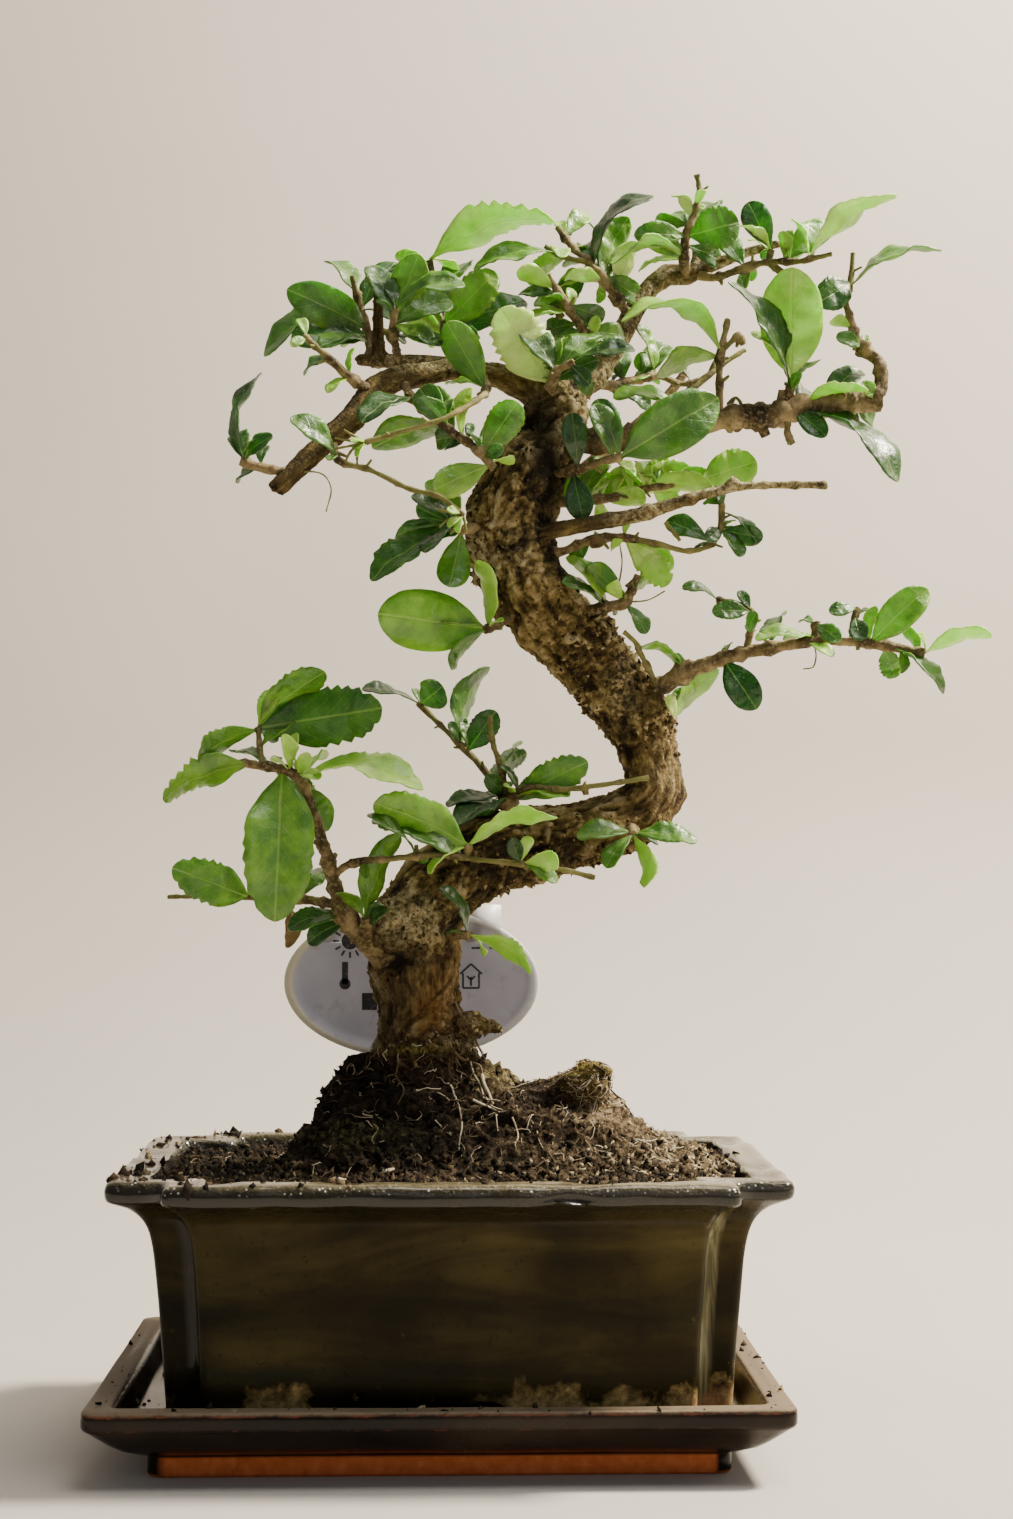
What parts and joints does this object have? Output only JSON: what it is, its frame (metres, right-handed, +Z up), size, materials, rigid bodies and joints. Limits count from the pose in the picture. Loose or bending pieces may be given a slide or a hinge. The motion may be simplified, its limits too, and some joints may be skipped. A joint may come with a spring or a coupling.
{
  "type": "fukien tea bonsai",
  "caption": "Fukien tea bonsai with an S-shaped trunk and sparse leafy sprays, in a glazed oblong pot with notched corners, on a drip tray, with an oval plant label.",
  "frame": {"origin": "on the drip tray's flat underside, below the middle of the pot", "axes": "+Z up, +X to the right as the front view shows the pot's long side, +Y away from the front"},
  "size_m": [0.2702, 0.156, 0.3981],
  "materials": {
    "tray_glaze": "gloss",
    "pot_glaze": "gloss",
    "soil": "matte",
    "bark": "matte",
    "label_plastic": "satin",
    "foliage": "satin"
  },
  "bodies": {
    "root": {"saucer": "tray_glaze", "pot": "pot_glaze", "soil": "soil", "trunk": "bark", "plant_label": "label_plastic", "branch_left_low": "foliage", "twig_left_side": "foliage", "twig_runner": "foliage", "spray_spur": "foliage", "spray_burl": "foliage", "spray_knot": "foliage", "spray_bend": "foliage", "spray_bend_low": "foliage", "branch_right_low": "foliage", "branch_right_mid": "foliage", "spray_left_mid": "foliage", "spray_stub_left": "foliage", "spray_under_left": "foliage", "flower_stalk_left": "foliage", "spray_cut_branch": "foliage", "spray_tip_left": "foliage", "spray_top_left": "foliage", "spray_top_left_low": "foliage", "spray_top_left_right": "foliage", "spray_top_middle": "foliage", "spray_fork": "foliage", "spray_upper_middle": "foliage", "spray_upper_right": "foliage", "spray_top": "foliage", "spray_top_right": "foliage", "spray_back_right": "foliage", "spray_front": "foliage", "spray_behind_twig": "foliage", "twig_curved": "foliage", "spray_middle": "foliage"}
  },
  "joints": []
}
